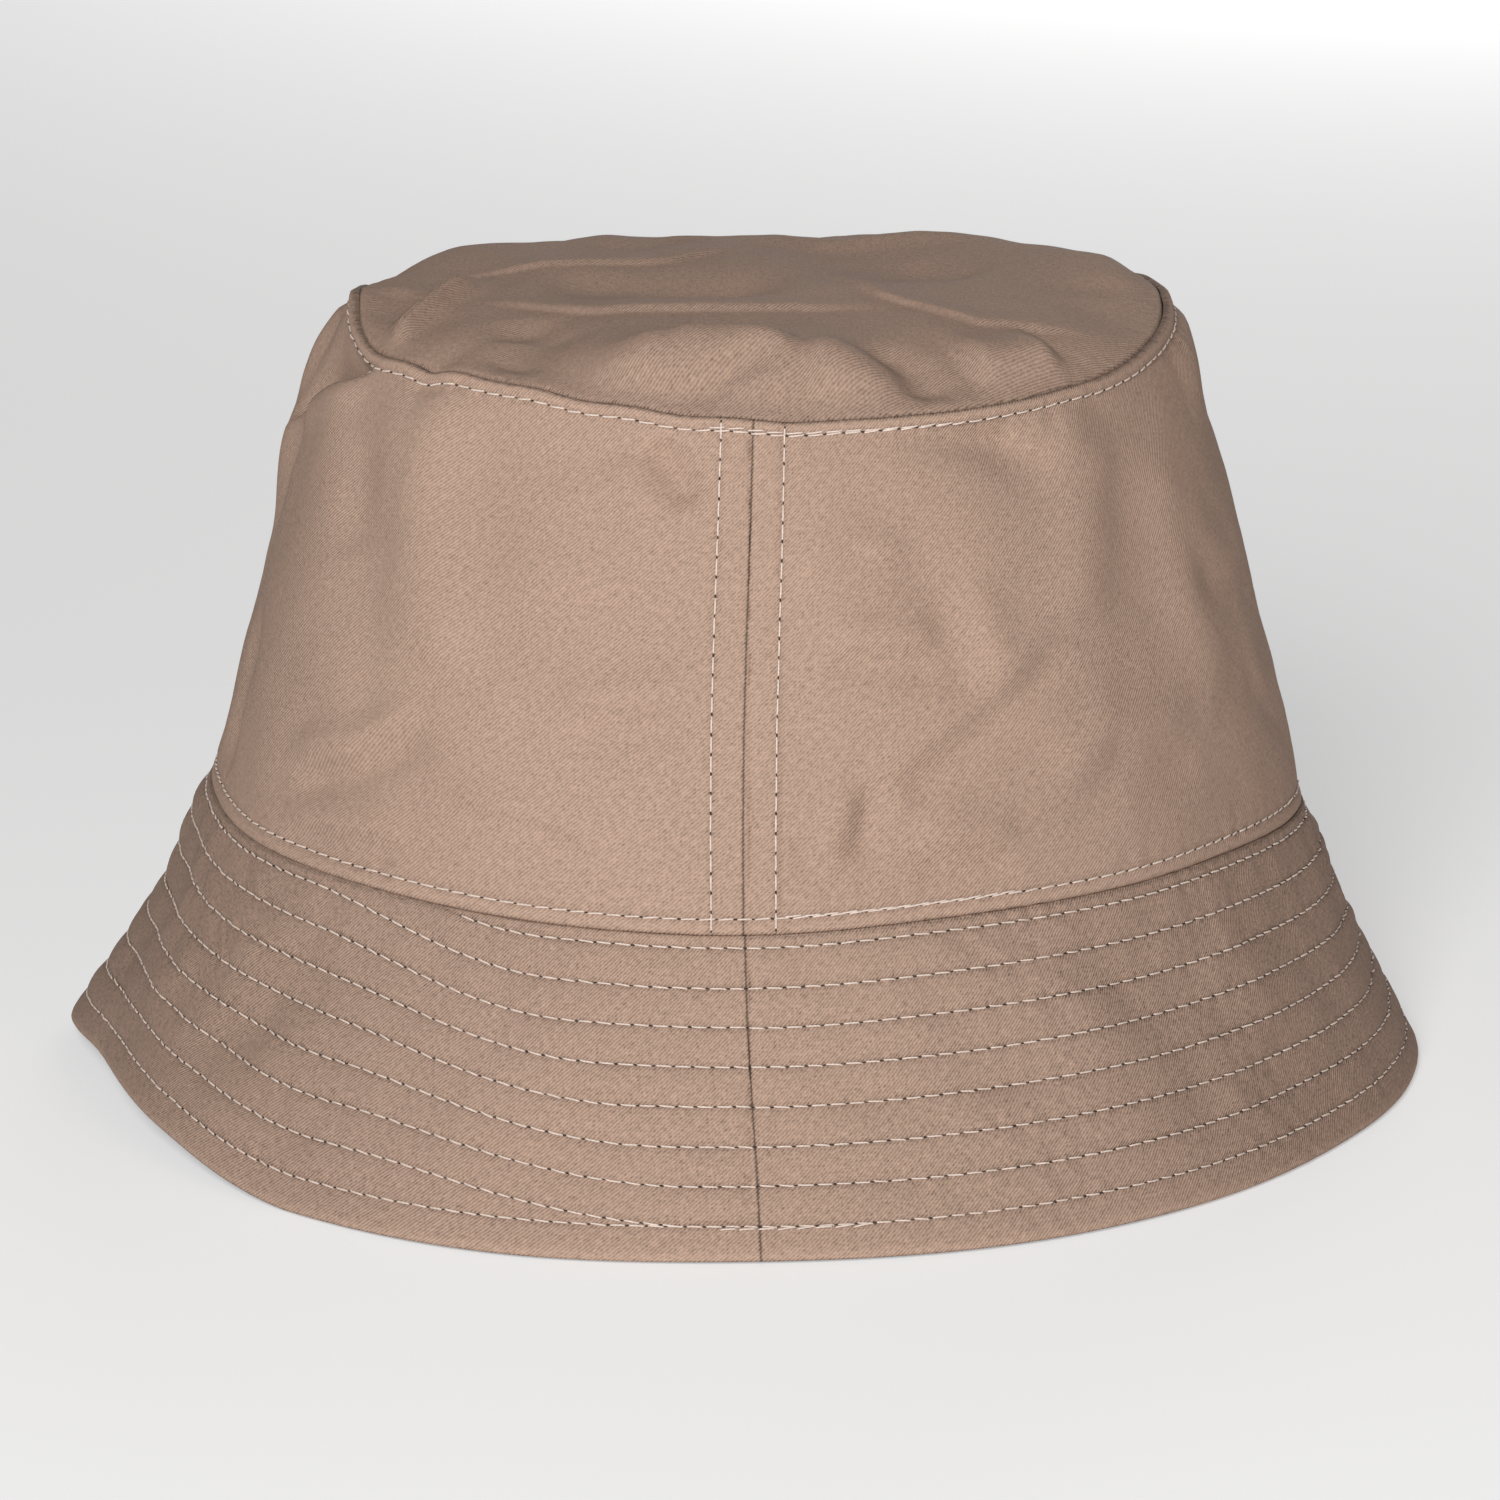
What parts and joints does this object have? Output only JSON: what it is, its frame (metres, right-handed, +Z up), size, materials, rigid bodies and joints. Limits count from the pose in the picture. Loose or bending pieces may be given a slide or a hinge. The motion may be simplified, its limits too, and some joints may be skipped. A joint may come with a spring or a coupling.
{
  "type": "bucket hat",
  "caption": "Soft lined cotton bucket hat with a domed tip, a two-piece side band and a sloping brim held by a spiral of stitching.",
  "frame": {"origin": "on the ground, under the middle of the hat's outline, level with the edge of the brim", "axes": "+Z up through the crown, -Y towards the back seam, +Y the way the wearer faces, +X the wearer's right"},
  "size_m": [0.2365, 0.2366, 0.1375],
  "materials": {
    "twill": "khaki-taupe cotton twill with a soft sheen",
    "lining": "dark slate plain-weave cotton",
    "interlining": "undyed fusible canvas",
    "thread": "pale spun polyester sewing thread"
  },
  "bodies": {
    "root": {"outer_tip": "twill", "outer_band_left": "twill", "outer_band_right": "twill", "outer_brim_left": "twill", "outer_brim_right": "twill", "band_interlining_left": "interlining", "band_interlining_right": "interlining", "brim_interlining_left": "interlining", "brim_interlining_right": "interlining", "lining_tip": "lining", "lining_band_left": "lining", "lining_band_right": "lining", "lining_brim_left": "lining", "lining_brim_right": "lining", "tip_topstitch": "thread", "brim_seam_topstitch": "thread", "back_seam_topstitch": "thread", "front_seam_topstitch": "thread", "brim_stitching": "thread"}
  },
  "joints": []
}
